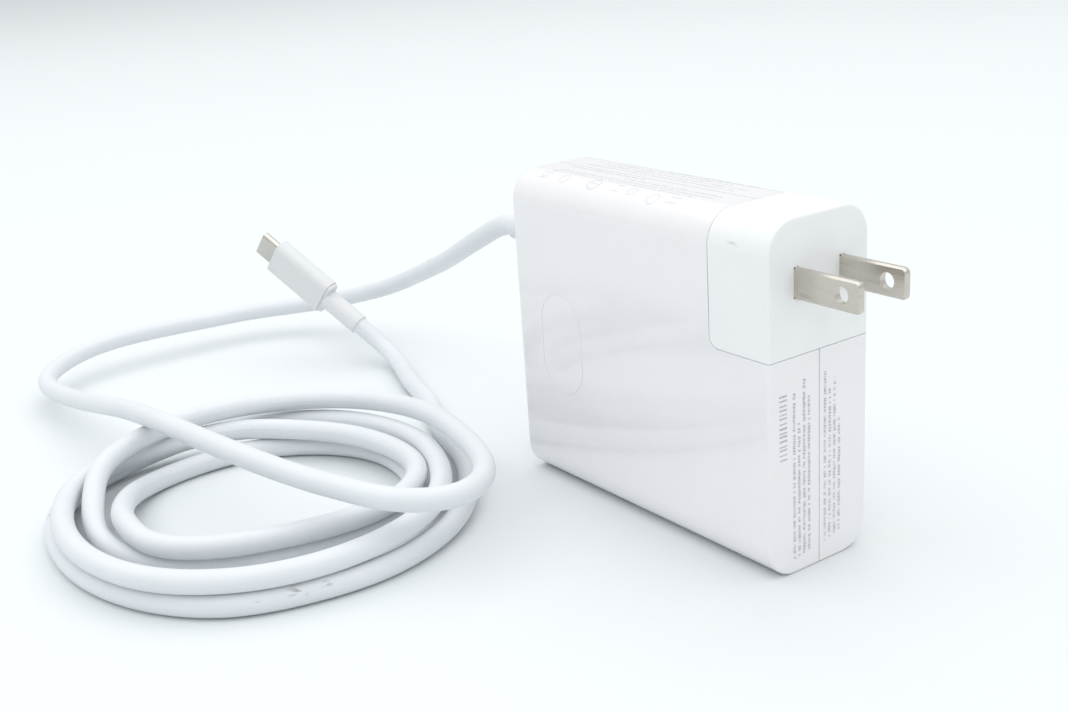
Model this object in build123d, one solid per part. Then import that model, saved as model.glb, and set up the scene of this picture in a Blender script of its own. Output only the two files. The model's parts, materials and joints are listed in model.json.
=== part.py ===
from build123d import *
import math
import os

# Laptop power adapter: a flat case standing on its narrow bottom face, a removable
# two-blade plug head at one upper corner, and a captive cord wound into a loose coil
# on the floor that ends in a USB-C plug.
# Origin: centre of the bottom face. +X: the way the blades point. +Z: up.
# All lengths are millimetres.

# ---- case -------------------------------------------------------------------------
CASE_L = 84.0              # along X
CASE_W = 28.0              # along Y
CASE_H = 75.0              # along Z
CASE_R = 7.0               # rounding of the four long edges that run along X
END_ROUND = 0.6            # edge round where the blades come out
REAR_ROUND = 1.5           # edge round where the cord leaves
WALL = 2.0
SEAM = 0.3                 # width and depth of the groove between the half shells
LIP_T = 0.9                # tongue on the front shell that locates the rear shell
LIP_H = 1.0
FIT = 0.05                 # clearance between parts that plug or slide together
POST_R = 1.6               # posts that clamp the main board between the half shells

OVAL_X = -25.0             # fine oval line on the front face
OVAL_Z = 36.0
OVAL_W = 15.0
OVAL_H = 24.5
OVAL_LINE = 0.3
OVAL_DEPTH = 0.08

# ---- plug head --------------------------------------------------------------------
HEAD_L = 16.6              # along X
HEAD_H = 27.8              # along Z
HEAD_GAP = 0.2             # seam between head and case
HEAD_CORNER_R = 2.5        # round of the head's inner lower corner
HEAD_WALL = 1.8

BLADE_PITCH = 12.7
BLADE_T = 1.5
BLADE_TALL = 6.35
BLADE_REACH = 16.5         # length beyond the end face
BLADE_TAIL = 11.0          # length inside the head
BLADE_HOLE_R = 1.7
BLADE_HOLE_OUT = 11.9      # from the end face to the middle of the hole
BLADE_TIP_R = 1.2
BLADE_Z = 62.0

PIN_R = 1.25               # inlet pins that feed the head
PIN_X = 33.6
PIN_LOW = 38.0
PIN_TOP = 54.0
INLET_LOW = 35.0           # underside of the holder that grips the pins
SOCKET_R = 2.0
SOCKET_TOP = 57.0
SOCKET_ROOF = 1.2

STUD_W = 8.0               # T-shaped stud that the head slides over
STUD_NECK_W = 4.0
STUD_T = 1.5
STUD_ROOT_T = 1.2          # flange behind the notch wall
STUD_LOW = 51.0
STUD_TOP = 60.0
CHANNEL_T = 1.2            # wall of the channel that takes the stud
SPRING_T = 0.3

# ---- board and the parts on it ------------------------------------------------------
BOARD_Y = 6.6              # component side of the main board
BOARD_T = 1.6
BOARD_X = 39.0
BOARD_LOW = 3.0
BOARD_TOP = 72.0
BOARD_NOTCH_X = 22.0
BOARD_NOTCH_Z = 33.0
SPREADER_T = 0.5
SPREADER_GAP = 0.1         # between a heat spreader and the wall
SPREADER_MARGIN = 8.0      # from the inside of the walls to a heat spreader's edge
FILM_Y = -11.25            # insulation film, just inside the front heat spreader
FILM_T = 0.25
FILM_MARGIN = 7.0
FILM_FOLD = 4.0

CHOKE_AT = (31.2, 23.0)    # ring core of the common-mode choke, as (x, z)
CHOKE_Y0 = -3.0
CHOKE_Y1 = 4.6
CHOKE_OUT = 6.4
CHOKE_IN = 3.4
CHOKE_TURNS = 7            # per winding
CHOKE_SPAN = 120.0         # degrees that each winding covers
CHOKE_WIRE = 0.9
INLET_WIRE_R = 0.8
OUTPUT_WIRE_R = 0.55

# ---- cord -------------------------------------------------------------------------
CORD_R = 2.6
BORE_R = 1.9               # inside of the jacket
CORE_R = 1.3               # bundle of conductors, loose in the jacket
CORD_Z = 56.5              # height of the cord's exit in the rear end face
FLEX_X = -60.0             # where the cord bends as it leaves the strain relief
FLEX_R = 2.7               # cup that the end of the cord turns in
FLEX_LEAD = 0.45           # chamfer at the mouth of the cup
RELIEF_ROOT_R = 4.4
RELIEF_TIP_R = 3.4
RELIEF_FLANGE_R = 5.6
RELIEF_FLANGE_T = 1.4
RELIEF_RINGS = 5           # grooves round the sleeve
RELIEF_FIRST_RING = 3.0    # from the end face
RELIEF_RING_PITCH = 2.6
RELIEF_RING_W = 1.0
RELIEF_WALL = 0.5          # left between a groove and the cord
STUB_X = -34.0             # inner end of the cord in the case

# ---- USB-C plug -------------------------------------------------------------------
USB_AT = (-146.8, -2.7, 12.2)        # where the cord enters the plug's collar
USB_WAY = (-0.72, -0.37, 0.59)       # the way the plug points
USB_ACROSS = (-0.54, -0.17, -0.82)   # along the plug's width
USB_COLLAR_L = 13.0
USB_COLLAR_R = 3.2
USB_BODY_L = 22.0
USB_BODY_W = 11.6
USB_BODY_T = 6.0
USB_BODY_R = 2.4
USB_STEP_L = 1.0           # narrower step at the rear of the body
USB_STEP = 0.5
USB_NOSE = 6.65            # metal nose beyond the body
USB_NOSE_W = 8.3
USB_NOSE_T = 2.56
USB_NOSE_WALL = 0.3
USB_NOSE_ROOT = 5.5        # length of the nose's shell inside the grip
USB_CAVITY_W = 9.6         # hollow of the grip
USB_CAVITY_T = 4.4
USB_CAVITY_R = 1.6
USB_CAN_T = 0.2            # wall of the shield can
USB_TONGUE_W = 6.7         # slot for the socket's tongue
USB_TONGUE_T = 0.75
USB_CONTACTS = 12          # per face of the slot
USB_CONTACT_PITCH = 0.5
USB_CONTACT_W = 0.25
USB_CONTACT_T = 0.2

# Route of the cord's centre line, from the strain relief to the USB-C plug.
CORD_ROUTE = {
    "lead that rises to the case": [
        (-76, 2, 52), (-92, 5, 45), (-112, 10, 36.5), (-132, 13, 28.5), (-152, 13, 20.5),
        (-172, 9, 14), (-188, 0, 10), (-197, -15, 9), (-200, -33, 9), (-200.5, -52, 9.5),
        (-198, -72, 9), (-186, -88, 7.5), (-163, -91, 8.5), (-137, -90, 12.5),
        (-110, -89, 17.4), (-85, -87.5, 19.5), (-62, -85.5, 20.6), (-42, -82, 20.6),
        (-25, -76, 19.6),
    ],
    "top turn, then down to the floor": [
        (-12, -68, 18.3), (-7.5, -58, 17.3), (-11.5, -48, 16.5), (-23, -40, 16),
        (-38, -35, 15.3), (-55, -31.5, 14.5), (-72, -32, 13.5), (-87, -38.5, 13),
        (-98, -50, 12.8), (-103.5, -63, 13), (-105, -77, 13), (-101.5, -91, 12.6),
        (-94.5, -103, 11), (-84, -109.6, 8.2), (-72, -113.4, 4.6), (-57, -111, 3.2),
    ],
    "inner turn on the floor, then up": [
        (-45, -102, 2.7), (-37, -88, 2.7), (-33, -70, 2.7), (-36, -55, 2.7),
        (-46, -45, 2.7), (-60, -40, 2.7), (-75, -41, 2.7), (-88, -49, 2.7),
        (-96.5, -61.5, 2.7), (-98.5, -76, 2.7), (-96, -89, 2.8), (-88.5, -98.5, 4.4),
        (-77.5, -105, 6.6), (-64, -109, 8.4),
    ],
    "second layer, inner turn": [
        (-51, -108.5, 8.2), (-40, -99.5, 8), (-34, -86, 8), (-31, -70, 8),
        (-34.5, -54.5, 8), (-45, -44.5, 8), (-60, -42, 8), (-77, -46, 8),
        (-91.5, -55.5, 8), (-102, -67, 7.8), (-105, -81, 7.4), (-104.5, -95, 7),
        (-98, -107, 7.8), (-86, -115.8, 8),
    ],
    "second layer, outer turn, then down": [
        (-69.5, -121, 8), (-50.2, -120.8, 8), (-34.8, -115, 8), (-24, -105, 8),
        (-17.4, -91.5, 8), (-16, -76, 8), (-19.8, -61, 8), (-29, -48.5, 8),
        (-41, -40.5, 8.3), (-55, -36, 8.5), (-71, -35.5, 8), (-87, -40.8, 7.6),
        (-99.5, -51, 7), (-108.5, -64, 6), (-112, -79, 4.4),
    ],
    "outer turn on the floor": [
        (-110.5, -94, 2.9), (-104, -106.5, 2.7), (-92.5, -116, 2.7), (-77, -121, 2.7),
        (-60, -122, 2.7), (-45, -119, 2.7), (-32, -112.5, 2.7), (-22, -102.5, 2.7),
        (-16.5, -88, 2.7), (-15, -73, 2.7), (-18.5, -58, 2.7), (-26.5, -45, 2.7),
        (-38.5, -34.5, 2.8), (-53, -26.5, 3),
    ],
    "tail that lifts to the plug": [
        (-76, -19, 3), (-94, -11, 2.8), (-110, -6.5, 3), (-126, -1, 3.5), (-137, 1, 5.4),
        (-143.2, -0.7, 9.1), USB_AT,
    ],
}

LEAD_LEG = slice(0, 1)     # legs of the route that make each length of the cord
COIL_LEGS = slice(1, -1)
TAIL_LEG = slice(-1, None)

# ---- places worked out from the sizes above -----------------------------------------
END_X = CASE_L / 2
SIDE_Y = CASE_W / 2
IN_X = END_X - WALL
IN_Y = SIDE_Y - WALL
HEAD_X = END_X - HEAD_L
HEAD_Z = CASE_H - HEAD_H
NOTCH_X = HEAD_X - HEAD_GAP
NOTCH_Z = HEAD_Z - HEAD_GAP
FLOOR_Z = NOTCH_Z - WALL          # underside of the notch floor
BLADE_Y = BLADE_PITCH / 2
BOARD_BACK = BOARD_Y + BOARD_T
FAR = 200.0                       # longer than anything it cuts

USB = Plane(origin=USB_AT, x_dir=USB_ACROSS, z_dir=USB_WAY)
GRIP_Z = USB_COLLAR_L             # along the plug: rear of the grip
FRONT_Z = GRIP_Z + USB_BODY_L     # front of the grip
TIP_Z = FRONT_Z + USB_NOSE        # tip of the nose
NOSE_ROOT_Z = FRONT_Z - USB_NOSE_ROOT


# ---- helpers ------------------------------------------------------------------------
def block(x0, x1, y0, y1, z0, z1):
    """Box between two corners."""
    middle = ((x0 + x1) / 2, (y0 + y1) / 2, (z0 + z1) / 2)
    return Pos(*middle) * Box(x1 - x0, y1 - y0, z1 - z0)


def rod(radius, length, start, way):
    """Cylinder from a point along a direction."""
    return extrude(Plane(origin=start, z_dir=way) * Circle(radius), amount=length)


def rod_y(radius, x, z, y0, y1):
    return rod(radius, y1 - y0, (x, y0, z), (0, 1, 0))


def group(solids):
    """Separate solids kept in one node."""
    return Compound(children=list(solids))


def case_block(x0, x1, inset):
    """Length of the case's rounded cross-section, drawn in by an inset."""
    outline = RectangleRounded(CASE_W - 2 * inset, CASE_H - 2 * inset, CASE_R - inset)
    section = Plane(origin=(x0, 0, CASE_H / 2), x_dir=(0, 1, 0), z_dir=(1, 0, 0))
    return extrude(section * outline, amount=x1 - x0)


def corner_block(x0, z0, radius):
    """Everything above z0 and beyond x0, with its inner lower corner rounded."""
    solid = block(x0, FAR, -FAR, FAR, z0, FAR)
    edge = solid.edges().filter_by(Axis.Y).sort_by(lambda e: e.center().X + e.center().Z)[0]
    return fillet(edge, radius)


def flex_cup(point, way):
    """Cutter for the half-ball cup, with a chamfered mouth, that the end of the cord turns in."""
    rim = math.sqrt(FLEX_R ** 2 - FLEX_LEAD ** 2)
    diagonal = FLEX_R / math.sqrt(2)
    outline = Polyline((0, FLEX_R), (0, 0), (rim + FLEX_LEAD, 0), (rim, FLEX_LEAD))
    outline += ThreePointArc((rim, FLEX_LEAD), (diagonal, diagonal), (0, FLEX_R))
    cutter = revolve(Plane.XZ * make_face(outline), axis=Axis.Z)
    return Plane(origin=point, z_dir=way) * cutter


# ---- case -------------------------------------------------------------------------
def case_outside():
    """Outside of the closed case, with the corner for the plug head left out."""
    whole = case_block(-END_X, END_X, 0)
    whole = fillet(whole.faces().sort_by(Axis.X)[-1].edges(), END_ROUND)
    whole = fillet(whole.faces().sort_by(Axis.X)[0].edges(), REAR_ROUND)
    return whole - corner_block(NOTCH_X, NOTCH_Z, HEAD_CORNER_R + HEAD_GAP)


def case_inside(grow=0.0):
    """Hollow of the case, or the hollow grown into the wall."""
    hollow = case_block(-IN_X - grow, IN_X + grow, WALL - grow)
    radius = HEAD_CORNER_R + HEAD_GAP + WALL - grow
    return hollow - corner_block(NOTCH_X - WALL + grow, FLOOR_Z + grow, radius)


def seam_groove():
    """Fine groove all round the outside where the half shells meet."""
    ring = case_outside() & block(-FAR, FAR, -SEAM / 2, SEAM / 2, -FAR, FAR)
    core = case_block(-END_X + SEAM, END_X - SEAM, SEAM)
    core -= corner_block(NOTCH_X - SEAM, NOTCH_Z - SEAM, HEAD_CORNER_R + SEAM)
    return ring - core


def lip(clearance=0.0):
    """Tongue that stands on the front shell's rim, in the inner half of the wall."""
    band = case_inside(LIP_T + clearance) - case_inside(-clearance)
    return band & block(-FAR, FAR, 0, LIP_H + clearance, -FAR, FAR)


def wall_cutouts():
    """Openings that both half shells share: the cord exit, the pin holes and the stud."""
    half = STUD_NECK_W / 2
    holes = block(NOTCH_X - 2 * WALL, NOTCH_X + WALL, -half, half, STUD_LOW, STUD_TOP)
    holes += rod(RELIEF_ROOT_R + FIT, 3 * WALL, (-END_X + 2 * WALL, 0, CORD_Z), (-1, 0, 0))
    for y in (-BLADE_Y, BLADE_Y):
        holes += rod(PIN_R + FIT, 2 * WALL, (PIN_X, y, FLOOR_Z - FIT), (0, 0, 1))
    return holes


def board_posts():
    """Places of the posts, as (x, z)."""
    return [(-35.5, 8.0), (35.5, 8.0), (-35.5, 68.0), (18.5, 68.0)]


def front_shell():
    half = (case_outside() - case_inside()) & block(-FAR, FAR, -FAR, 0, -FAR, FAR)
    for x, z in board_posts():
        half += rod_y(POST_R, x, z, -IN_Y - FIT, BOARD_Y)
    slot = SlotCenterToCenter(OVAL_H - OVAL_W, OVAL_W, rotation=90)
    inner = SlotCenterToCenter(OVAL_H - OVAL_W, OVAL_W - 2 * OVAL_LINE, rotation=90)
    face = Plane(origin=(OVAL_X, -SIDE_Y, OVAL_Z), x_dir=(1, 0, 0), z_dir=(0, -1, 0))
    mark = extrude(face * (slot - inner), amount=-OVAL_DEPTH)
    return half + lip() - seam_groove() - wall_cutouts() - mark


def rear_shell():
    half = (case_outside() - case_inside()) & block(-FAR, FAR, 0, FAR, -FAR, FAR)
    for x, z in board_posts():
        half += rod_y(POST_R, x, z, BOARD_BACK, IN_Y + FIT)
    return half - lip(FIT) - seam_groove() - wall_cutouts()


def head_stud():
    """T-shaped steel stud, clamped between the half shells, that holds the plug head."""
    wall_x = NOTCH_X - WALL
    face_x = HEAD_X + HEAD_WALL + 2 * FIT
    half = STUD_W / 2
    neck_half = STUD_NECK_W / 2
    root = block(wall_x - STUD_ROOT_T, wall_x, -half, half, STUD_LOW, STUD_TOP)
    neck = block(wall_x, face_x, -neck_half, neck_half, STUD_LOW, STUD_TOP)
    bar = block(face_x, face_x + STUD_T, -half, half, STUD_LOW, STUD_TOP)
    return root + neck + bar


# ---- heat path and insulation ----------------------------------------------------------
def sheet(y0, y1, margin):
    """Flat plate that follows the case's outline, less the plug head's corner."""
    plate = block(-IN_X + margin, IN_X - margin, y0, y1, WALL + margin, CASE_H - WALL - margin)
    corner = corner_block(NOTCH_X - WALL - margin, FLOOR_Z - margin, HEAD_CORNER_R + WALL)
    return plate - corner


def heat_spreader_front():
    y = -IN_Y + SPREADER_GAP
    return sheet(y, y + SPREADER_T, SPREADER_MARGIN)


def heat_spreader_rear():
    y = IN_Y - SPREADER_GAP
    return sheet(y - SPREADER_T, y, SPREADER_MARGIN)


def insulation_sheet():
    """Thin film between the parts and the front heat spreader, folded in at the bottom."""
    low = WALL + FILM_MARGIN
    reach = IN_X - FILM_MARGIN
    film = sheet(FILM_Y, FILM_Y + FILM_T, FILM_MARGIN)
    return film + block(-reach, reach, FILM_Y, FILM_Y + FILM_FOLD, low, low + FILM_T)


def thermal_pad_front():
    """Soft pad between the film and the tallest parts."""
    return block(-29.0, 19.0, FILM_Y + FILM_T + FIT, -9.1, 42.5, 64.0)


def thermal_pad_rear():
    """Soft pad between the board's solder side and the rear heat spreader."""
    y1 = IN_Y - SPREADER_GAP - SPREADER_T - FIT
    return block(-29.0, 17.0, BOARD_BACK + FIT, y1, 12.0, 60.0)


# ---- board ------------------------------------------------------------------------------
def main_board():
    board = block(-BOARD_X, BOARD_X, BOARD_Y, BOARD_BACK, BOARD_LOW, BOARD_TOP)
    return board - block(BOARD_NOTCH_X, FAR, -FAR, FAR, BOARD_NOTCH_Z, FAR)


def inlet_block():
    """Moulded holder that grips the two inlet pins under the plug head."""
    body = block(28.5, 38.7, -9.5, 9.5, INLET_LOW, FLOOR_Z - FIT)
    body = fillet(body.edges().filter_by(Axis.Z), 1.0)
    for y in (-BLADE_Y, BLADE_Y):
        body -= rod(PIN_R, FAR, (PIN_X, y, PIN_LOW), (0, 0, 1))
    return body


def inlet_pins():
    pins = []
    for y in (-BLADE_Y, BLADE_Y):
        pin = rod(PIN_R, PIN_TOP - PIN_LOW, (PIN_X, y, PIN_LOW), (0, 0, 1))
        pins.append(fillet(pin.faces().sort_by(Axis.Z)[-1].edges(), 0.9))
    return group(pins)


def wire(points, radius, first_way, last_way):
    """Insulated wire along a smooth curve between two directions."""
    path = Spline(*points, tangents=[first_way, last_way], tangent_scalars=[1, 1])
    return sweep(Plane(origin=path @ 0, z_dir=path % 0) * Circle(radius), path=path)


def inlet_wire(side):
    """Wire from the inlet block down to the board, for one side of the mains."""
    x = PIN_X + 1.5 * side
    start = (x, 2.6, INLET_LOW - FIT)
    end = (x, BOARD_Y - FIT, 30.9)
    return wire([start, end], INLET_WIRE_R, (0, 0, -1), (0, 1, 0))


def live_wire():
    return inlet_wire(-1)


def neutral_wire():
    return inlet_wire(1)


def fuse():
    return fillet(rod_y(4.2, 15.5, 38.5, BOARD_Y - 8.0, BOARD_Y).edges().sort_by(Axis.Y)[0], 0.6)


def varistor():
    disc = rod(4.0, 3.6, (15.0, 1.4, 46.9), (0, 0, 1))
    for x in (13.8, 16.2):
        disc += rod_y(0.4, x, 48.7, 5.3, BOARD_Y)
    return disc


def choke_core():
    x, z = CHOKE_AT
    ring = rod_y(CHOKE_OUT, x, z, CHOKE_Y0, CHOKE_Y1)
    return ring - rod_y(CHOKE_IN, x, z, CHOKE_Y0 - 1, CHOKE_Y1 + 1)


def choke_windings():
    """Two windings of square-cornered turns around the choke's ring."""
    middle = (CHOKE_OUT + CHOKE_IN) / 2
    tall = CHOKE_Y1 - CHOKE_Y0
    thick = CHOKE_OUT - CHOKE_IN
    hole = Box(thick + 2 * FIT, tall + 2 * FIT, FAR)
    turn = Box(thick + 2 * CHOKE_WIRE, tall + 2 * CHOKE_WIRE, CHOKE_WIRE) - hole
    centre = Pos(CHOKE_AT[0], (CHOKE_Y0 + CHOKE_Y1) / 2, CHOKE_AT[1])
    turns = []
    for start in (-CHOKE_SPAN / 2, 180.0 - CHOKE_SPAN / 2):
        for i in range(CHOKE_TURNS):
            angle = start + i * CHOKE_SPAN / (CHOKE_TURNS - 1)
            turns.append(centre * Rot(0, angle, 0) * Pos(middle, 0, 0) * turn)
    return group(turns)


def x_capacitor():
    body = block(21.0, 33.0, -6.0, BOARD_Y, 4.6, 13.2)
    return fillet(body.faces().sort_by(Axis.Y)[0].edges(), 0.6)


def bulk_capacitors():
    """Two electrolytic cans lying along X, with the crimp near the leads."""
    cans = []
    for z in (11.6, 26.2):
        can = rod(6.5, 26.0, (-6.0, FIT, z), (1, 0, 0))
        crimp = rod(7.0, 0.9, (-3.6, FIT, z), (1, 0, 0)) - rod(6.1, 0.9, (-3.6, FIT, z), (1, 0, 0))
        cans.append(can - crimp)
    return group(cans)


def wound_core(x0, x1, z0, z1, y0, y1, post, leg):
    """Ferrite frame with a middle post, open on the board side and the far side."""
    frame = block(x0, x1, y0, y1, z0, z1)
    window = (x1 - x0 - post) / 2 - leg
    frame -= block(x0 + leg, x0 + leg + window, y0 - 1, y1 + 1, z0 + leg, z1 - leg)
    return frame - block(x1 - leg - window, x1 - leg, y0 - 1, y1 + 1, z0 + leg, z1 - leg)


def winding_block(x0, x1, z0, z1, y0, y1, post, corner):
    """Rounded coil around the middle post."""
    body = block(x0, x1, y0, y1, z0, z1)
    body = fillet(body.edges().filter_by(Axis.Z), corner)
    middle = (x0 + x1) / 2
    half = post / 2 + FIT
    return body - block(middle - half, middle + half, y0 + 3.0, y1 - 3.0, z0 - 1, z1 + 1)


def transformer_core():
    return wound_core(-31.0, -9.0, 27.0, 49.0, -3.6, 2.8, 6.0, 2.6)


def transformer_winding():
    return winding_block(-28.3, -11.7, 29.7, 46.3, -8.6, BOARD_Y - 0.6, 6.0, 2.5) - transformer_core()


def transformer_bobbin():
    """Base flange of the coil former, between the winding and the board."""
    return block(-27.5, -12.5, BOARD_Y - 0.55, BOARD_Y, 28.5, 47.5)


def boost_inductor_core():
    return wound_core(-3.0, 12.0, 51.0, 66.0, -3.0, 2.0, 4.0, 2.0)


def boost_inductor_winding():
    return winding_block(-0.9, 9.9, 53.1, 63.9, -7.5, BOARD_Y - 0.4, 4.0, 2.0) - boost_inductor_core()


def bridge_rectifier():
    body = block(5.5, 9.3, -3.6, 4.4, 35.0, 48.0)
    for i in range(4):
        z = 36.6 + 3.1 * i
        body += block(7.2, 7.7, 4.4, BOARD_Y, z, z + 0.8)
    return body


def mosfet_heatsink():
    """Folded aluminium plate that stands on the board."""
    plate = block(-5.4, -4.2, -8.0, BOARD_Y, 36.0, 49.0)
    return plate + block(-5.4, 1.0, -8.0, -6.8, 36.0, 49.0)


def primary_mosfet():
    body = block(-4.2, 0.2, -6.0, 3.0, 38.0, 47.0)
    for i in range(3):
        z = 39.6 + 2.54 * i
        body += block(-2.4, -1.8, 3.0, BOARD_Y, z, z + 0.8)
    return body


def sync_rectifier():
    body = block(-37.0, -32.0, BOARD_Y - 1.0, BOARD_Y, 52.0, 58.0)
    return fillet(body.faces().sort_by(Axis.Y)[0].edges(), 0.2)


def y_capacitors():
    return group(rod(3.5, 3.0, (x, 3.1, 65.8), (0, 0, 1)) for x in (-14.5, -7.5))


def output_capacitors():
    cans = []
    for x, z in ((-33.0, 13.5), (-33.0, 22.5), (-24.0, 13.5), (-15.0, 13.5)):
        can = rod_y(4.0, x, z, BOARD_Y - 12.0, BOARD_Y)
        cans.append(fillet(can.edges().sort_by(Axis.Y)[0], 0.5))
    return group(cans)


def controller_board():
    return block(-30.0, -17.5, -7.0, BOARD_Y, 52.5, 53.5)


def controller_chips():
    """USB power-delivery controller and its power switch on the upright board."""
    controller = block(-27.0, -23.0, -4.0, 0.0, 53.5, 54.4)
    switch = block(-22.5, -19.5, -3.5, -0.5, 53.5, 54.3)
    return group([controller, switch])


# ---- cord at the case end ------------------------------------------------------------------
def cord_clamp():
    """Crimped block on the cord's inner end that takes the pull."""
    body = block(-38.5, -35.0, -4.5, 4.5, CORD_Z - 4.5, CORD_Z + 4.5)
    body = fillet(body.edges().filter_by(Axis.X), 1.0)
    return body - rod(CORD_R, FAR, (-FAR / 2, 0, CORD_Z), (1, 0, 0))


def strain_relief():
    """Flexible sleeve with a flange behind the end wall and rings that let it bend."""
    outside = -END_X
    flange = rod(RELIEF_FLANGE_R, RELIEF_FLANGE_T, (-IN_X + FIT, 0, CORD_Z), (1, 0, 0))
    neck = rod(RELIEF_ROOT_R, WALL + FIT, (outside, 0, CORD_Z), (1, 0, 0))
    middle = Plane(origin=((outside + FLEX_X) / 2, 0, CORD_Z), z_dir=(-1, 0, 0))
    sleeve = middle * Cone(RELIEF_ROOT_R, RELIEF_TIP_R, outside - FLEX_X)
    body = flange + neck + sleeve
    for i in range(RELIEF_RINGS):
        start = (outside - RELIEF_FIRST_RING - RELIEF_RING_PITCH * i, 0, CORD_Z)
        groove = rod(RELIEF_ROOT_R + 1, RELIEF_RING_W, start, (-1, 0, 0))
        body -= groove - rod(CORD_R + RELIEF_WALL, RELIEF_RING_W, start, (-1, 0, 0))
    body -= rod(CORD_R, FAR, (-FAR / 2, 0, CORD_Z), (1, 0, 0))
    return body - flex_cup((FLEX_X, 0, CORD_Z), (1, 0, 0))


def cord_inner_end():
    """Short end of the cord that is held in the case and the strain relief."""
    stub = rod(CORD_R, STUB_X - FLEX_X, (FLEX_X, 0, CORD_Z), (1, 0, 0))
    return stub - flex_cup((FLEX_X, 0, CORD_Z), (1, 0, 0))


def output_wires():
    """Supply, return and signal wires from the board to the cord's inner end."""
    wires = []
    for i in range(3):
        start = (STUB_X + FIT, 1.3 * (i - 1), CORD_Z)
        end = (-29.5, BOARD_Y - FIT, CORD_Z + 4.0 + 2.4 * i)
        wires.append(wire([start, end], OUTPUT_WIRE_R, (1, 0, 0), (0, 1, 0)))
    return group(wires)


# ---- plug head -----------------------------------------------------------------------------
def head_corner(inset):
    """Solid of the head's shape, drawn in by an inset."""
    solid = case_block(HEAD_X - FAR, END_X - inset, inset)
    if inset == 0:
        solid = fillet(solid.faces().sort_by(Axis.X)[-1].edges(), END_ROUND)
    return solid & corner_block(HEAD_X, HEAD_Z, HEAD_CORNER_R)


def blade(y, grow=0.0):
    """Flat blade with a rounded tip and a hole, tail inside the head."""
    x0 = END_X - BLADE_TAIL
    x1 = END_X + BLADE_REACH
    side = BLADE_T / 2 + grow
    half = BLADE_TALL / 2 + grow
    body = block(x0, x1, y - side, y + side, BLADE_Z - half, BLADE_Z + half)
    if grow:
        return body
    body = fillet(body.edges().filter_by(Axis.Y).group_by(Axis.X)[-1], BLADE_TIP_R)
    body = chamfer(body.faces().sort_by(Axis.X)[-1].edges().filter_by(Axis.Z), 0.4)
    hole = rod_y(BLADE_HOLE_R, END_X + BLADE_HOLE_OUT, BLADE_Z, y - BLADE_T, y + BLADE_T)
    return body - hole


def plug_head_shell():
    cap = head_corner(0) - case_block(HEAD_X - FAR, END_X - HEAD_WALL, HEAD_WALL)
    for y in (-BLADE_Y, BLADE_Y):
        cap -= blade(y, grow=0.001)
    return cap


def plug_head_base():
    """Inner closing part of the head, with the channel for the stud and the pin holes."""
    x_back = HEAD_X + HEAD_WALL
    z_top = HEAD_Z + HEAD_WALL
    body = head_corner(0) & case_block(HEAD_X - FAR, END_X - HEAD_WALL - FIT, HEAD_WALL + FIT)
    body -= block(x_back, FAR, -FAR, FAR, z_top, FAR)
    pocket_x = x_back + STUD_T + 3 * FIT
    half = STUD_W / 2 + FIT
    outer = half + CHANNEL_T
    neck = STUD_NECK_W / 2 + FIT
    body += block(x_back - FIT, pocket_x + CHANNEL_T, -outer, outer, z_top - FIT, STUD_TOP + CHANNEL_T)
    body -= block(x_back, pocket_x, -half, half, -FAR, STUD_TOP + FIT)
    body -= block(-FAR, x_back + FIT, -neck, neck, -FAR, STUD_TOP + FIT)
    for y in (-BLADE_Y, BLADE_Y):
        body -= rod(PIN_R + FIT, FAR, (PIN_X, y, -FAR / 2), (0, 0, 1))
    return body


def live_blade():
    return blade(-BLADE_Y)


def neutral_blade():
    return blade(BLADE_Y)


def blade_contacts():
    """Socket for each inlet pin, with a strap up to the blade's tail."""
    low = HEAD_Z + HEAD_WALL + 0.3
    blade_low = BLADE_Z - BLADE_TALL / 2
    contacts = []
    for y in (-BLADE_Y, BLADE_Y):
        socket = rod(SOCKET_R, SOCKET_TOP - low, (PIN_X, y, low), (0, 0, 1))
        socket -= rod(PIN_R + FIT, FAR, (PIN_X, y, SOCKET_TOP - SOCKET_ROOF - FAR), (0, 0, 1))
        strap = block(PIN_X - 1.2, PIN_X + 1.2, y - 0.3, y + 0.3, SOCKET_TOP - 0.5, blade_low)
        contacts.append(socket + strap)
    return group(contacts)


def head_divider():
    """Wall that keeps the live and neutral sides apart."""
    low = HEAD_Z + HEAD_WALL + FIT
    top = CASE_H - HEAD_WALL - 1.5
    return block(HEAD_X + 8.0, END_X - HEAD_WALL - FIT, -0.6, 0.6, low, top)


def retention_spring():
    """Flat spring leaf against the back of the stud's channel."""
    x = HEAD_X + HEAD_WALL + STUD_T + 3 * FIT + CHANNEL_T
    return block(x, x + SPRING_T, -2.0, 2.0, 50.0, 61.0)


# ---- cord ------------------------------------------------------------------------------------
def cord_curves():
    """Centre line of the cord: one smooth curve per leg of the route."""
    stations = [Vector(FLEX_X, 0, CORD_Z)]
    ends = [0]
    for leg in CORD_ROUTE.values():
        stations += [Vector(*point) for point in leg]
        ends.append(len(stations) - 1)
    ways = [(stations[i + 1] - stations[i - 1]).normalized() for i in ends[1:-1]]
    ways = [Vector(-1, 0, 0)] + ways + [Vector(*USB_WAY)]
    curves = []
    for i, (first, last) in enumerate(zip(ends, ends[1:])):
        points = stations[first:last + 1]
        curves.append(Spline(*points, tangents=[ways[i], ways[i + 1]], tangent_scalars=[1, 1]))
    return curves


def along_cord(section, legs):
    """Round bar that follows some legs of the cord."""
    path = Wire(cord_curves()[legs])
    return sweep(Plane(origin=path @ 0, z_dir=path % 0) * section, path=path)


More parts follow.
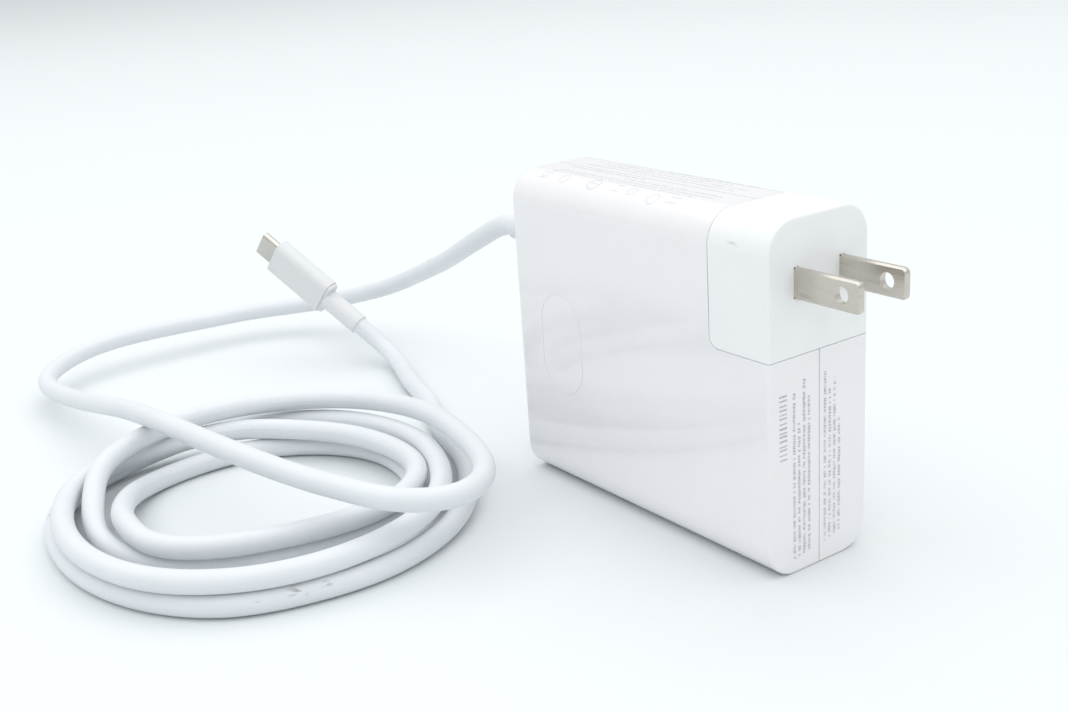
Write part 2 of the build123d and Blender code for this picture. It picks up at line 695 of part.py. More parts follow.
def jacket(legs):
    """Length of the outer sleeve: an outer wall, a bore wall and a flat ring at each end."""
    skin = along_cord(Circle(CORD_R), legs)
    bore = along_cord(Circle(BORE_R), legs)
    faces = [f for bar in (skin, bore) for f in bar.faces() if f.geom_type != GeomType.PLANE]
    for flat in skin.faces().filter_by(GeomType.PLANE):
        hole = bore.faces().filter_by(GeomType.PLANE).sort_by_distance(flat.center())[0]
        faces.append(Face(flat.outer_wire(), [hole.outer_wire()]))
    return Solid(Shell(faces))


def core(legs):
    """Length of the bundle of insulated conductors and braid inside the jacket."""
    return along_cord(Circle(CORE_R), legs)


def cord_jacket_lead():
    return jacket(LEAD_LEG)


def cord_jacket_coil():
    return jacket(COIL_LEGS)


def cord_jacket_tail():
    return jacket(TAIL_LEG)


def cord_core_lead():
    return core(LEAD_LEG)


def cord_core_coil():
    return core(COIL_LEGS)


def cord_core_tail():
    return core(TAIL_LEG)


# ---- USB-C plug ------------------------------------------------------------------------------
def usb_rod(radius, z0, z1):
    return extrude(USB * Pos(0, 0, z0) * Circle(radius), amount=z1 - z0)


def usb_bar(width, thick, corner, z0, z1):
    """Bar with a rounded cross-section along the plug."""
    return extrude(USB * Pos(0, 0, z0) * RectangleRounded(width, thick, corner), amount=z1 - z0)


def usb_oval(width, thick, z0, z1):
    """Bar with fully round sides along the plug."""
    return extrude(USB * Pos(0, 0, z0) * SlotOverall(width, thick), amount=z1 - z0)


def usb_box(width, thick, z0, z1, across=0.0, up=0.0):
    return USB * Pos(across, up, (z0 + z1) / 2) * Box(width, thick, z1 - z0)


def usb_collar():
    """Round strain relief that the cord's plug end turns in."""
    body = usb_rod(USB_COLLAR_R, 0, GRIP_Z) - usb_rod(CORD_R, -1, GRIP_Z + 1)
    return body - flex_cup(USB_AT, USB_WAY)


def usb_cord_end():
    """Short end of the cord held in the collar and the grip."""
    return usb_rod(CORD_R, 0, GRIP_Z + 3.0) - flex_cup(USB_AT, USB_WAY)


def usb_grip():
    """Moulded grip with a narrower step where it meets the collar."""
    step_w = USB_BODY_W - 2 * USB_STEP
    step_t = USB_BODY_T - 2 * USB_STEP
    step_z = GRIP_Z + USB_STEP_L
    step = usb_bar(step_w, step_t, USB_BODY_R - USB_STEP, GRIP_Z, step_z)
    main = usb_bar(USB_BODY_W, USB_BODY_T, USB_BODY_R, step_z, FRONT_Z)
    hollow = usb_bar(USB_CAVITY_W, USB_CAVITY_T, USB_CAVITY_R, step_z, FRONT_Z - 1.2)
    hollow += usb_rod(CORD_R, GRIP_Z - 1, GRIP_Z + 3)
    hollow += usb_oval(USB_NOSE_W, USB_NOSE_T, NOSE_ROOT_Z, FRONT_Z + 1)
    return step + main - hollow


def usb_nose_hollow(z1):
    """Inside of the nose's shell, up to a height along the plug."""
    wall = 2 * USB_NOSE_WALL
    return usb_oval(USB_NOSE_W - wall, USB_NOSE_T - wall, NOSE_ROOT_Z + USB_NOSE_WALL, z1)


def usb_nose():
    """Drawn metal shell that goes into the socket."""
    tube = usb_oval(USB_NOSE_W, USB_NOSE_T, NOSE_ROOT_Z, TIP_Z)
    return tube - usb_nose_hollow(TIP_Z + 1)


def usb_insert():
    """Plastic liner of the nose, with the slot that takes the socket's tongue."""
    slot = usb_box(USB_TONGUE_W, USB_TONGUE_T, FRONT_Z + 0.4, TIP_Z)
    for side in (-1, 1):
        for i in range(USB_CONTACTS):
            slot += usb_contact(i, side, 0.0)
    return usb_nose_hollow(TIP_Z - 0.4) - slot


def usb_contact(i, side, shy):
    """One spring contact in its groove on one face of the slot."""
    across = (i - (USB_CONTACTS - 1) / 2) * USB_CONTACT_PITCH
    up = side * (USB_TONGUE_T / 2 + USB_CONTACT_T / 2 - 0.02)
    width = USB_CONTACT_W - shy
    thick = USB_CONTACT_T - shy
    return usb_box(width, thick, FRONT_Z + 1.0 + shy, TIP_Z - 1.4 - shy, across, up)


def usb_contacts():
    return group(usb_contact(i, side, 0.02) for side in (-1, 1) for i in range(USB_CONTACTS))


def usb_board():
    """Small board behind the nose that the cord's conductors are soldered to."""
    return usb_box(8.6, 0.8, GRIP_Z + 5.0, NOSE_ROOT_Z - 2 * FIT)


def usb_chip():
    """Cable identification chip on the small board."""
    return usb_box(2.5, 0.7, GRIP_Z + 8.0, GRIP_Z + 10.5, 0.0, 0.75)


def usb_shield():
    """Folded metal can around the small board, open at both ends."""
    width = USB_CAVITY_W - 2 * FIT
    thick = USB_CAVITY_T - 2 * FIT
    wall = 2 * USB_CAN_T
    can = usb_bar(width, thick, USB_CAVITY_R - FIT, GRIP_Z + 4.0, NOSE_ROOT_Z - 2 * FIT)
    corner = USB_CAVITY_R - FIT - USB_CAN_T
    return can - usb_bar(width - wall, thick - wall, corner, GRIP_Z + 3.0, NOSE_ROOT_Z + 1)


PARTS = {
    "front_shell": front_shell,
    "rear_shell": rear_shell,
    "head_stud": head_stud,
    "heat_spreader_front": heat_spreader_front,
    "heat_spreader_rear": heat_spreader_rear,
    "insulation_sheet": insulation_sheet,
    "thermal_pad_front": thermal_pad_front,
    "thermal_pad_rear": thermal_pad_rear,
    "main_board": main_board,
    "inlet_block": inlet_block,
    "inlet_pins": inlet_pins,
    "live_wire": live_wire,
    "neutral_wire": neutral_wire,
    "fuse": fuse,
    "varistor": varistor,
    "choke_core": choke_core,
    "choke_windings": choke_windings,
    "x_capacitor": x_capacitor,
    "bulk_capacitors": bulk_capacitors,
    "transformer_core": transformer_core,
    "transformer_winding": transformer_winding,
    "transformer_bobbin": transformer_bobbin,
    "boost_inductor_core": boost_inductor_core,
    "boost_inductor_winding": boost_inductor_winding,
    "bridge_rectifier": bridge_rectifier,
    "mosfet_heatsink": mosfet_heatsink,
    "primary_mosfet": primary_mosfet,
    "sync_rectifier": sync_rectifier,
    "y_capacitors": y_capacitors,
    "output_capacitors": output_capacitors,
    "controller_board": controller_board,
    "controller_chips": controller_chips,
    "cord_clamp": cord_clamp,
    "strain_relief": strain_relief,
    "cord_inner_end": cord_inner_end,
    "output_wires": output_wires,
    "plug_head_shell": plug_head_shell,
    "plug_head_base": plug_head_base,
    "live_blade": live_blade,
    "neutral_blade": neutral_blade,
    "blade_contacts": blade_contacts,
    "head_divider": head_divider,
    "retention_spring": retention_spring,
    "cord_jacket_lead": cord_jacket_lead,
    "cord_jacket_coil": cord_jacket_coil,
    "cord_jacket_tail": cord_jacket_tail,
    "cord_core_lead": cord_core_lead,
    "cord_core_coil": cord_core_coil,
    "cord_core_tail": cord_core_tail,
    "usb_collar": usb_collar,
    "usb_cord_end": usb_cord_end,
    "usb_grip": usb_grip,
    "usb_nose": usb_nose,
    "usb_insert": usb_insert,
    "usb_contacts": usb_contacts,
    "usb_board": usb_board,
    "usb_chip": usb_chip,
    "usb_shield": usb_shield,
}

os.makedirs("parts", exist_ok=True)
for name, make in PARTS.items():
    part = make()
    part.label = name
    export_step(part, f"parts/{name}.step")
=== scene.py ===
"""Looks and studio for the laptop power adapter. Lengths are metres in the part's own frame."""
import json
import math
import random

import bmesh
import bpy
from mathutils import Matrix, Vector
from mathutils.bvhtree import BVHTree


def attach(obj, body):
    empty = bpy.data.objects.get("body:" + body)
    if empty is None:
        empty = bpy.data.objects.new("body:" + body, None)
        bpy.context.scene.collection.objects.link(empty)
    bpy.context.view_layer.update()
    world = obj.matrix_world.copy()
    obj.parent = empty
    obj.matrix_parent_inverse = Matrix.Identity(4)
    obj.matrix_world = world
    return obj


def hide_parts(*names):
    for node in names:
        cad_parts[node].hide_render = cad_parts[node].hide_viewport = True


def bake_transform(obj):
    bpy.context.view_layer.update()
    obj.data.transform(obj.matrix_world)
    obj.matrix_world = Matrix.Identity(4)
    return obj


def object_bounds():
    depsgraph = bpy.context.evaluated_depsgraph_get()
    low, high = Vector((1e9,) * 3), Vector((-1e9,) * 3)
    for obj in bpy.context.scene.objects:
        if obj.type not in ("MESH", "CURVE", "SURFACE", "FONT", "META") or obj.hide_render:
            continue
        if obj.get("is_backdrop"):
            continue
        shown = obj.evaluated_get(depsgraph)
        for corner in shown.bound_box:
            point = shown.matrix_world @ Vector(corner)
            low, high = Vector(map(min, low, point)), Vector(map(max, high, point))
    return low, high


MM = 0.001

# ---- camera ------------------------------------------------------------------------
CAMERA_AT = (0.2218, -0.1940, 0.1364)
CAMERA_AZIMUTH = math.radians(55.15)
CAMERA_ELEVATION = math.radians(18.57)
CAMERA_ROLL = math.radians(-3.90)
CAMERA_LENS = 46.57

# ---- places on the object --------------------------------------------------------------
END_X = 42.0                                  # end face, top and the gap round the plug head
TOP = 75.0
SEAM_X = 25.3
SEAM_Z = 47.1
SEAM_R = 2.6
SEAM_DEPTH = 0.15
SEAM_HALF = 0.085
CORD_EXIT = Vector((-60, 0, 56.5)) * MM
LEAD_END = Vector((-88, 4, 47)) * MM          # the cord's lead length runs from its exit to here
PLUG_AT = Vector((-146.8, -2.7, 12.2)) * MM
TAIL_START = Vector((-129, 0, 3.9)) * MM      # and from here to where it enters the USB-C plug
TAIL_REACH = 21 * MM
CORD_JOINS = (Vector((-25, -76, 19.6)) * MM, Vector((-53, -26.5, 3)) * MM)   # lead-coil, coil-tail
INK_LIFT = 0.02 * MM
CORD_R = 2.6
FLARE_LENGTH = 0.55
FLARE_STEPS = 6
FLARE_SIDES = 48
LEAD_COLLAR = (CORD_EXIT, (-1, 0, 0), 3.35)   # mouth, the way out of it, outer radius
TAIL_COLLAR = (PLUG_AT, (0.72, 0.37, -0.59), 3.15)

CORD_SCUFFS = [                               # centre, radius, the way the scuff runs
    ((-15.0, -91.5, 4.5), 2.6, (0.4, 0.9, 0)), ((-14.0, -85.5, 4.6), 1.6, (0.1, 1, 0)),
    ((-16.8, -100.0, 4.0), 1.5, (0.5, 0.85, 0)), ((-90.0, -117.0, 5.0), 4.0, (0.8, -0.6, 0)),
    ((-98.0, -111.5, 5.0), 3.5, (0.6, -0.8, 0)), ((-83.0, -103.0, 5.5), 2.5, (0.7, -0.7, 0)),
    ((-122.0, 12.0, 34.0), 3.5, (-1, 0.1, 0)),
]
HEAD_SMUDGES = [
    ((27.8, -14, 70.6), 1.3, (1, 0, 0)), ((32.2, -14, 69.6), 1.7, (1, 0, 0)),
    ((33.0, -14, 68.8), 1.2, (1, 0, 0)),
]
# painted reflection of the head: the blades are darker towards their bases
BLADE_BASE_PAINTED_REFLECTION = [((42.0, -6.35, 60.5), 8.0, (1, 0, 0)), ((42.0, 6.35, 60.5), 6.0, (1, 0, 0))]


# ---- shader building blocks --------------------------------------------------------------
class Shader:
    """A material's node tree around one Principled shader, in object coordinates."""

    def __init__(self, name):
        self.material = bpy.data.materials.new(name)
        self.material.use_nodes = True
        self.tree = self.material.node_tree
        self.surface = self.tree.nodes["Principled BSDF"]
        self.place = self.add("ShaderNodeTexCoord").outputs["Object"]

    def add(self, kind, **settings):
        node = self.tree.nodes.new(kind)
        for key, value in settings.items():
            setattr(node, key, value)
        return node

    def feed(self, socket, value):
        if isinstance(value, bpy.types.NodeSocket):
            self.tree.links.new(value, socket)
        else:
            socket.default_value = value

    def scaled(self, scale):
        node = self.add("ShaderNodeMapping")
        self.feed(node.inputs["Vector"], self.place)
        node.inputs["Scale"].default_value = scale
        return node.outputs["Vector"]

    def noise(self, scale, detail=3.0, stretch=(1, 1, 1)):
        node = self.add("ShaderNodeTexNoise")
        self.feed(node.inputs["Vector"], self.scaled(stretch))
        node.inputs["Scale"].default_value = scale
        node.inputs["Detail"].default_value = detail
        return node.outputs["Fac"]

    def ranged(self, value, low, high, to_low, to_high):
        node = self.add("ShaderNodeMapRange")
        for key, item in zip(("Value", "From Min", "From Max", "To Min", "To Max"),
                             (value, low, high, to_low, to_high)):
            self.feed(node.inputs[key], item)
        return node.outputs["Result"]

    def math(self, operation, first, second):
        node = self.add("ShaderNodeMath", operation=operation)
        self.feed(node.inputs[0], first)
        self.feed(node.inputs[1], second)
        return node.outputs[0]

    def mixed(self, share, first, second):
        node = self.add("ShaderNodeMix", data_type="RGBA")
        self.feed(node.inputs["Factor"], share)
        self.feed(node.inputs[6], first)
        self.feed(node.inputs[7], second)
        return node.outputs[2]

    def near(self, centre, radius):
        """One at a place, falling to nought at the radius."""
        away = self.add("ShaderNodeVectorMath", operation="DISTANCE")
        self.feed(away.inputs[0], self.place)
        away.inputs[1].default_value = [c * MM for c in centre]
        return self.ranged(away.outputs["Value"], 0.0, radius * MM, 1.0, 0.0)

    def streaks(self, way, scale):
        """Broken marks drawn out along a direction in the floor's plane."""
        turned = self.add("ShaderNodeMapping", vector_type="TEXTURE")
        self.feed(turned.inputs["Vector"], self.place)
        turned.inputs["Rotation"].default_value = (0, 0, math.atan2(way[1], way[0]))
        turned.inputs["Scale"].default_value = (7, 1, 1)
        node = self.add("ShaderNodeTexNoise")
        self.feed(node.inputs["Vector"], turned.outputs["Vector"])
        node.inputs["Scale"].default_value = scale
        node.inputs["Detail"].default_value = 4.0
        return self.ranged(node.outputs["Fac"], 0.54, 0.60, 0.0, 1.0)

    def marks(self, spots, scale):
        """Share of marking over all the spots, each (centre, radius, way): dirt on the head and cord, painted
        reflection on the blades.
        """
        total = 0.0
        for centre, radius, way in spots:
            share = self.math("MULTIPLY", self.near(centre, radius), self.streaks(way, scale))
            total = self.math("MAXIMUM", total, share)
        return total


def rgba(colour, gain=1.0):
    return (colour[0] * gain, colour[1] * gain, colour[2] * gain, 1.0)


def finish_of(name, colour, rough, metal=0.0, spread=0.05, patch=70.0, grain=900.0, bump=0.02,
              stretch=(1, 1, 1), wear=0.15, coat=0.0, spots=None, spot_colour=None, spot_share=0.9,
              spot_scale=900.0):
    """Material with drifting colour, uneven roughness, fine wear and bump, and optional local marks: dirt, and
    on the blades a painted reflection.
    """
    s = Shader(name)
    drift = s.noise(patch, 4.0)
    base = s.mixed(drift, rgba(colour, 1 - spread), rgba(colour, 1 + spread * 0.4))
    fine = s.noise(grain, 3.0, stretch)
    rubbed = s.ranged(s.noise(patch * 6, 6.0, stretch), 0.60, 0.72, 0.0, wear)
    base = s.mixed(rubbed, base, rgba(colour, 0.72))
    roughness = s.ranged(fine, 0.3, 0.7, rough * 0.85, rough * 1.15)
    roughness = s.math("ADD", roughness, s.math("MULTIPLY", rubbed, 0.25))
    # spots darken the colour: dirt on the head and cord, painted reflection on the blades
    if spots:
        share = s.math("MULTIPLY", s.marks(spots, spot_scale), spot_share)
        base = s.mixed(share, base, rgba(spot_colour))
        roughness = s.math("ADD", roughness, s.math("MULTIPLY", share, 0.2))
    relief = s.add("ShaderNodeBump")
    relief.inputs["Strength"].default_value = bump
    relief.inputs["Distance"].default_value = 0.1 * MM
    s.feed(relief.inputs["Height"], fine)
    s.feed(s.surface.inputs["Base Color"], base)
    s.feed(s.surface.inputs["Roughness"], roughness)
    s.feed(s.surface.inputs["Normal"], relief.outputs["Normal"])
    s.surface.inputs["Metallic"].default_value = metal
    s.surface.inputs["Coat Weight"].default_value = coat
    return s


ALONG_X = (0.04, 1, 1)


def make_materials():
    """One material per finish slot of the part."""
    made = {
        "case_white": finish_of("case_white", (0.85, 0.838, 0.852), 0.15, spread=0.03, wear=0.04,
                                bump=0.01, coat=0.8),
        "head_white": finish_of("head_white", (0.86, 0.87, 0.87), 0.42, spread=0.03, wear=0.05,
                                bump=0.05, spots=HEAD_SMUDGES, spot_colour=(0.40, 0.39, 0.37),
                                spot_share=0.55, spot_scale=500.0),
        "cord_white": finish_of("cord_white", (0.74, 0.765, 0.79), 0.45, spread=0.05, wear=0.10,
                                bump=0.08, spots=CORD_SCUFFS, spot_colour=(0.28, 0.27, 0.26),
                                spot_share=0.8, spot_scale=1900.0),
        "grip_white": finish_of("grip_white", (0.73, 0.735, 0.745), 0.40, spread=0.03, wear=0.06,
                                bump=0.05),
        # the blades' spots are painted reflection, darker near their bases
        "blade_nickel": finish_of("blade_nickel", (0.64, 0.60, 0.54), 0.24, metal=1.0, spread=0.12,
                                  stretch=ALONG_X, grain=2600.0, bump=0.25, wear=0.35,
                                  spots=BLADE_BASE_PAINTED_REFLECTION, spot_colour=(0.40, 0.36, 0.31),
                                  spot_share=0.7, spot_scale=400.0),
        "nose_nickel": finish_of("nose_nickel", (0.62, 0.60, 0.55), 0.26, metal=1.0, spread=0.10,
                                 grain=2400.0, bump=0.08, wear=0.3),
        "spring_steel": finish_of("spring_steel", (0.66, 0.66, 0.66), 0.28, metal=1.0, bump=0.1),
        "brass_pin": finish_of("brass_pin", (0.72, 0.56, 0.28), 0.25, metal=1.0, bump=0.1),
        "aluminium_sheet": finish_of("aluminium_sheet", (0.74, 0.75, 0.76), 0.35, metal=1.0,
                                     stretch=ALONG_X, bump=0.2),
        "polymer_can": finish_of("polymer_can", (0.70, 0.71, 0.72), 0.25, metal=1.0, bump=0.08),
        "copper_wire": finish_of("copper_wire", (0.70, 0.34, 0.16), 0.28, metal=1.0, bump=0.15),
        "contact_gold": finish_of("contact_gold", (0.83, 0.63, 0.28), 0.22, metal=1.0, bump=0.05),
    }
    plain = {
        "insulation_film": ((0.62, 0.55, 0.22), 0.30), "thermal_pad": ((0.16, 0.26, 0.34), 0.70),
        "board_green": ((0.02, 0.14, 0.06), 0.35), "holder_plastic": ((0.03, 0.03, 0.035), 0.45),
        "wire_red": ((0.45, 0.03, 0.02), 0.45), "wire_black": ((0.02, 0.02, 0.02), 0.45),
        "fuse_brown": ((0.12, 0.05, 0.03), 0.40), "varistor_blue": ((0.03, 0.08, 0.30), 0.45),
        "ferrite": ((0.04, 0.04, 0.045), 0.60), "winding_tape": ((0.60, 0.45, 0.06), 0.35),
        "film_cap_yellow": ((0.62, 0.46, 0.06), 0.40), "can_sleeve": ((0.03, 0.04, 0.06), 0.30),
        "chip_black": ((0.02, 0.02, 0.022), 0.50), "disc_orange": ((0.50, 0.18, 0.03), 0.45),
    }
    for name, (colour, rough) in plain.items():
        made[name] = finish_of(name, colour, rough, spread=0.15, bump=0.15, wear=0.2)
    made["ink"] = finish_of("ink", (0.48, 0.49, 0.51), 0.45, spread=0.35, patch=900.0, wear=0.0)
    made["faint_ink"] = finish_of("faint_ink", (0.70, 0.71, 0.73), 0.45, spread=0.15, patch=900.0)
    # the head seam's grey strip: painted shade in the gap round the plug head
    made["seam_painted_shade"] = finish_of("seam_painted_shade", (0.70, 0.71, 0.73), 0.5, spread=0.05)
    return {name: shader.material for name, shader in made.items()}


def paint(obj, material):
    obj.data.materials.clear()
    obj.data.materials.append(material)


def round_shading(obj, angle=32.0):
    """Smooth shading with creases kept where faces meet at more than the angle."""
    obj.data.shade_smooth()
    obj.data.set_sharp_from_angle(angle=math.radians(angle))


# ---- pieces ------------------------------------------------------------------------------
def piece_from(name, mesh_maker):
    """New object whose mesh is filled by mesh_maker."""
    bm = bmesh.new()
    mesh_maker(bm)
    mesh = bpy.data.meshes.new(name)
    bm.to_mesh(mesh)
    bm.free()
    obj = bpy.data.objects.new(name, mesh)
    bpy.context.scene.collection.objects.link(obj)
    return obj


def section_of(node, name, keep, collar=None):
    """Copy of the part of a CAD node's mesh whose faces pass keep(face centre), plus a collar."""
    def fill(bm):
        bm.from_mesh(node.data)
        bmesh.ops.remove_doubles(bm, verts=bm.verts, dist=1e-6)
        spare = [f for f in bm.faces if not keep(f.calc_center_median())]
        bmesh.ops.delete(bm, geom=spare, context="FACES")
        if collar:
            flare(bm, *collar)
    obj = piece_from(name, fill)
    round_shading(obj, 50.0)
    return obj


def even_join(obj):
    """Normals square to the centre line where two lengths of the cord meet, so no edge shows."""
    normals = []
    for vertex in obj.data.vertices:
        arms = [vertex.co - centre for centre in CORD_JOINS]
        radial = [arm.normalized() for arm in arms if abs(arm.length - CORD_R * MM) < 0.01 * MM]
        normals.append(radial[0] if radial else (0, 0, 0))
    obj.data.normals_split_custom_set_from_vertices(normals)


def on_lead(point):
    """True on the part of the cord that bends as it leaves the case."""
    return point.x > LEAD_END.x - 2 * MM and point.z > 38 * MM


def on_tail(point):
    """True on the part of the cord that bends as it enters the USB-C plug."""
    return (point - PLUG_AT).length < TAIL_REACH and point.x < -125 * MM


def flare(bm, mouth, outward, outer):
    """Short concave collar on the cord's skin that closes the mouth it turns in."""
    turn = Vector((0, 0, 1)).rotation_difference(Vector(outward).normalized())
    rings = []
    for i in range(FLARE_STEPS + 1):
        share = i / FLARE_STEPS
        radius = outer + (CORD_R - outer) * math.sin(share * math.pi / 2)
        out = 0.03 + FLARE_LENGTH * (1 - math.cos(share * math.pi / 2))
        ring = []
        for j in range(FLARE_SIDES):
            a = 2 * math.pi * j / FLARE_SIDES
            place = Vector((radius * math.cos(a), radius * math.sin(a), out)) * MM
            ring.append(bm.verts.new(turn @ place + mouth))
        rings.append(ring)
    for low, high in zip(rings, rings[1:]):
        for j in range(FLARE_SIDES):
            k = (j + 1) % FLARE_SIDES
            bm.faces.new((low[j], low[k], high[k], high[j]))


def dress_cord(nodes, materials):
    """The cord's end lengths: a part at each joint, baked in place on no body, and a run that rides the cord.
    """
    ends = (
        ("lead", on_lead, LEAD_COLLAR, ("case", "cord", CORD_EXIT, LEAD_END)),
        ("tail", on_tail, TAIL_COLLAR, ("cord", "usb_plug", TAIL_START, PLUG_AT)),
    )
    for kind, slot in (("cord_jacket", "cord_white"), ("cord_core", "copper_wire")):
        for end, bends, collar, hinge in ends:
            source = f"{kind}_{end}"
            mouth = collar if kind == "cord_jacket" else None
            flex = section_of(nodes[source], source + "_flex", bends, mouth)
            run = section_of(nodes[source], source + "_run", lambda point: not bends(point))
            for obj in (flex, run):
                paint(obj, materials[slot])
                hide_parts(source)
            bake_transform(flex)
            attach(run, "cord")
            if mouth:
                even_join(run)
    even_join(nodes["cord_jacket_coil"])


def surface_tree(nodes, names):
    """Search tree over the outer skins of some CAD nodes."""
    verts, faces = [], []
    for name in names:
        mesh = nodes[name].data
        start = len(verts)
        verts += [v.co.copy() for v in mesh.vertices]
        faces += [[start + i for i in p.vertices] for p in mesh.polygons]
    return BVHTree.FromPolygons(verts, faces)


class Printer:
    """Lays flat ink marks on the case. A mark is drawn in two directions across the face."""

    def __init__(self, bm, tree, inward, across, along):
        self.bm = bm
        self.tree = tree
        self.inward = Vector(inward)
        self.across = Vector(across)
        self.along = Vector(along)

    def point(self, u, v):
        start = self.across * u * MM + self.along * v * MM - self.inward * 0.2
        hit = self.tree.ray_cast(start, self.inward)
        return self.bm.verts.new(hit[0] - self.inward * INK_LIFT)

    def bar(self, u, v, width, length):
        corners = ((u, v), (u + width, v), (u + width, v + length), (u, v + length))
        self.bm.faces.new([self.point(*c) for c in corners])

    def row(self, u, v0, v1, width, longest, rng):
        """Broken line of short bars that stands for a line of small print."""
        v = v0
        while v < v1:
            length = min(rng.uniform(0.25, 1.0) * longest, v1 - v)
            self.bar(u + rng.uniform(0.0, 0.12), v, width * rng.uniform(0.7, 1.0), length)
            v += length + rng.choice((0.15, 0.2, 0.25, 0.3, 0.8))

    def ring(self, u, v, radius, width, sides=28):
        inner, outer = [], []
        for i in range(sides):
            turn = 2 * math.pi * i / sides
            c, s = math.cos(turn), math.sin(turn)
            inner.append(self.point(u + (radius - width) * c, v + (radius - width) * s))
            outer.append(self.point(u + radius * c, v + radius * s))
        for i in range(sides):
            j = (i + 1) % sides
            self.bm.faces.new([inner[i], outer[i], outer[j], inner[j]])

    def frame(self, u, v, width, length, line):
        self.bar(u, v, width, line)
        self.bar(u, v + length - line, width, line)
        self.bar(u, v + line, line, length - 2 * line)
        self.bar(u + width - line, v + line, line, length - 2 * line)


def end_marks(bm, tree):
    """Marks on the narrow end face: small rows either side of the seam and one larger row."""
    rng = random.Random(5)
    p = Printer(bm, tree, (-1, 0, 0), (0, 1, 0), (0, 0, 1))
    for y, z0, z1 in ((-7.6, 3.4, 40.0), (-6.2, 3.6, 33.0), (-4.8, 3.8, 42.0), (-3.4, 4.2, 38.0),
                      (1.2, 4.6, 42.0), (2.6, 5.0, 38.0), (4.0, 5.4, 40.0), (5.4, 5.8, 31.0)):
        p.row(y, z0, z1, 0.8, 0.42, rng)
    z = 26.0
    while z < 39.5:
        p.bar(-11.3, z, 2.1, rng.uniform(0.2, 0.4))
        z += rng.uniform(0.75, 1.1)


def top_marks(bm, tree):
    """Marks on the top face: a line of plain outlines and rows of small print behind it."""
    rng = random.Random(8)
    p = Printer(bm, tree, (0, 0, -1), (0, 1, 0), (1, 0, 0))
    p.frame(-10.6, -35.0, 2.2, 3.4, 0.25)
    p.row(-10.0, -34.5, -32.0, 0.35, 0.8, rng)
    p.ring(-9.6, -26.0, 1.4, 0.18)
    p.ring(-9.4, -15.5, 1.9, 0.35)
    p.row(-9.6, -16.7, -14.4, 0.4, 0.7, rng)
    p.frame(-10.4, -9.0, 2.4, 2.6, 0.2)
    p.ring(-9.4, -2.5, 1.3, 0.18)
    p.ring(-10.2, 5.0, 1.5, 0.2)
    p.frame(-10.6, 9.0, 2.0, 3.6, 0.25)
    for y, x0, x1 in ((-7.0, -34.0, 14.5), (-5.4, -33.0, 18.0), (-3.6, -12.0, 19.0), (-1.6, -34.0, -8.0),
                      (2.2, -32.0, 16.0), (4.0, -28.0, 19.0), (5.8, -30.0, 12.0), (7.4, -10.0, 18.0)):
        p.row(y, x0, x1, 0.4, 0.9, rng)


def print_marks(nodes, materials):
    tree = surface_tree(nodes, ("front_shell", "rear_shell"))
    for name, draw, ink in (("marks_end", end_marks, "ink"), ("marks_top", top_marks, "faint_ink")):
        obj = piece_from(name, lambda bm, draw=draw: draw(bm, tree))
        paint(obj, materials[ink])
        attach(obj, "case")


# ---- seam round the plug head --------------------------------------------------------------
def seam_line():
    """Points down the middle of the gap round the plug head, each with the way across the gap."""
    side, inset, depth = 14.0, 7.0, SEAM_DEPTH
    small = inset - depth
    path = []
    for y in (-1, 1):
        run = [((END_X - depth, SEAM_Z), (0, 0, 1)), ((SEAM_X + SEAM_R, SEAM_Z), (0, 0, 1))]
        for i in range(1, 9):
            a = math.radians(90 * i / 8)
            way = (-math.sin(a), 0, -math.cos(a))
            run.append(((SEAM_X + SEAM_R - SEAM_R * math.sin(a), SEAM_Z + SEAM_R - SEAM_R * math.cos(a)), way))
        points = [((x, y * (side - depth), z), way) for (x, z), way in run]
        for i in range(0, 13):
            a = math.radians(90 * i / 12)
            place = (SEAM_X, y * (side - inset + small * math.cos(a)), TOP - inset + small * math.sin(a))
            points.append((place, (1, 0, 0)))
        path.append(points)
    return path[0] + path[1][::-1]


def seam_ribbon(bm):
    """Thin strip that closes the gap just below the surface; its grey is painted shade in the gap."""
    line = seam_line()
    rails = []
    for place, way in line:
        centre = Vector(place) * MM
        across = Vector(way).normalized() * SEAM_HALF * MM
        rails.append((bm.verts.new(centre - across), bm.verts.new(centre + across)))
    for here, there in zip(rails, rails[1:] + rails[:1]):
        bm.faces.new((here[0], here[1], there[1], there[0]))


def dress_seam(materials):
    # grey strip in the gap: painted shade where the seam falls dark
    obj = piece_from("head_seam_liner", seam_ribbon)
    paint(obj, materials["seam_painted_shade"])
    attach(obj, "case")


# ---- studio ------------------------------------------------------------------------------
def floor(materials):
    """Large pale sheet under the object."""
    def fill(bm):
        reach, cells = 8.0, 40
        bmesh.ops.create_grid(bm, x_segments=cells, y_segments=cells, size=reach)
        for v in bm.verts:
            v.co.z = -0.02 * MM
    obj = piece_from("studio_floor", fill)
    s = Shader("studio_floor")
    drift = s.noise(1.5, 2.0)
    s.feed(s.surface.inputs["Base Color"], s.mixed(drift, (0.75, 0.775, 0.785, 1), (0.77, 0.795, 0.805, 1)))
    s.surface.inputs["Roughness"].default_value = 0.9
    s.surface.inputs["Specular IOR Level"].default_value = 0.1
    paint(obj, s.material)
    obj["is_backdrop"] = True


def softbox(name, at, aim, size, power, colour):
    data = bpy.data.lights.new(name, "AREA")
    data.shape = "RECTANGLE"
    data.size = size[0]
    data.size_y = size[1]
    data.energy = power
    data.color = colour
    obj = bpy.data.objects.new(name, data)
    bpy.context.scene.collection.objects.link(obj)
    obj.location = at
    obj.rotation_mode = "QUATERNION"
    obj.rotation_quaternion = (Vector(aim) - Vector(at)).to_track_quat("-Z", "Y")


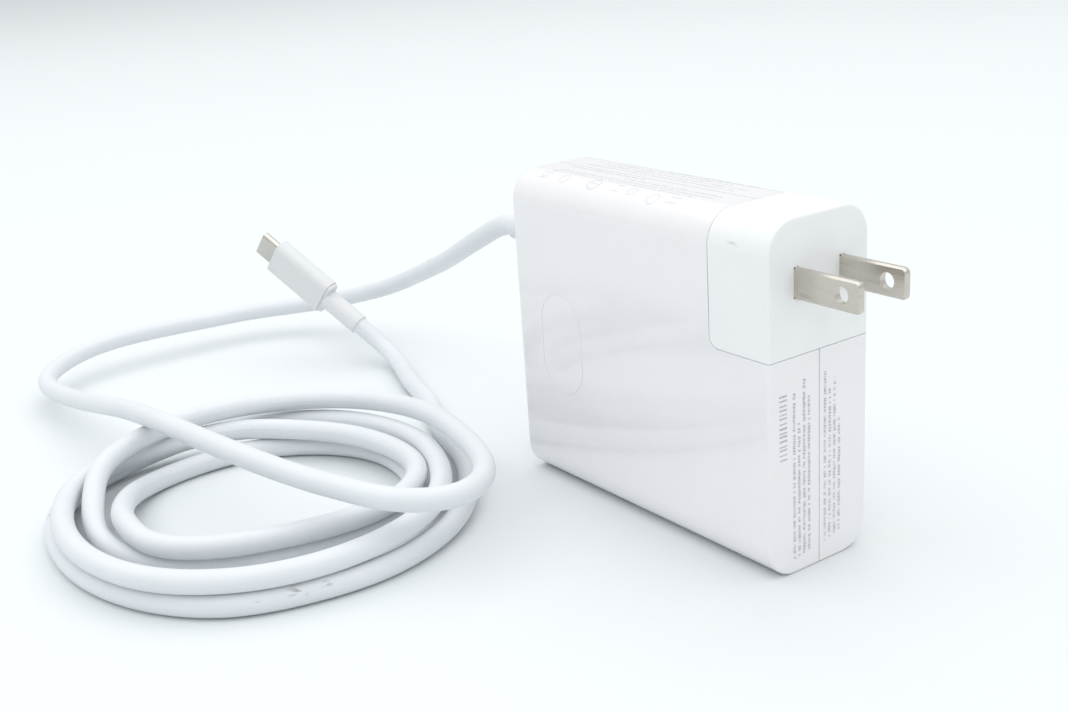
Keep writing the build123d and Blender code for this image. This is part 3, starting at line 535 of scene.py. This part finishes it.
def sky(strength):
    """Even, slightly cool surroundings."""
    world = bpy.data.worlds.new("studio")
    world.use_nodes = True
    glow = world.node_tree.nodes["Background"]
    glow.inputs["Color"].default_value = (0.955, 0.985, 1.0, 1)
    glow.inputs["Strength"].default_value = strength
    bpy.context.scene.world = world


def camera():
    az, el, roll = CAMERA_AZIMUTH, CAMERA_ELEVATION, CAMERA_ROLL
    forward = Vector((-math.sin(az) * math.cos(el), math.cos(az) * math.cos(el), -math.sin(el)))
    level = forward.cross(Vector((0, 0, 1))).normalized()
    above = level.cross(forward)
    right = math.cos(roll) * level + math.sin(roll) * above
    up = right.cross(forward)
    data = bpy.data.cameras.new("camera")
    data.lens = CAMERA_LENS
    data.sensor_width = 36.0
    obj = bpy.data.objects.new("camera", data)
    bpy.context.scene.collection.objects.link(obj)
    turn = Matrix((right, up, -forward)).transposed().to_4x4()
    obj.matrix_world = Matrix.Translation(CAMERA_AT) @ turn
    bpy.context.scene.camera = obj


def corners():
    low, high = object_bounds()
    return [list(low), list(high)]


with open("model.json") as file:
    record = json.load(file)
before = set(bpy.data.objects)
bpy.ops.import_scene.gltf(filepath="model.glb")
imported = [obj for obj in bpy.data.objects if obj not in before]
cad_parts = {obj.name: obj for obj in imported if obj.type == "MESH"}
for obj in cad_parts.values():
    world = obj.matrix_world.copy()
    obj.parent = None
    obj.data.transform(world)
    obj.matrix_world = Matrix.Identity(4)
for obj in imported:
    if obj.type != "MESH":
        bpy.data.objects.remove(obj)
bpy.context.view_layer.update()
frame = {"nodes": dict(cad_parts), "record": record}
materials = make_materials()
slots = {part["node"]: part["material_slot"] for part in frame["record"]["subparts"]}
for name, node in frame["nodes"].items():
    paint(node, materials[slots[name]])
    round_shading(node)
dress_cord(frame["nodes"], materials)
print_marks(frame["nodes"], materials)
dress_seam(materials)
floor(materials)
sky(0.80)
softbox("overhead", (-0.05, -0.10, 1.5), (-0.05, -0.06, 0), (3.0, 3.0), 26.0, (1.0, 1.0, 1.0))
camera()
bpy.context.scene.view_settings.view_transform = "Standard"
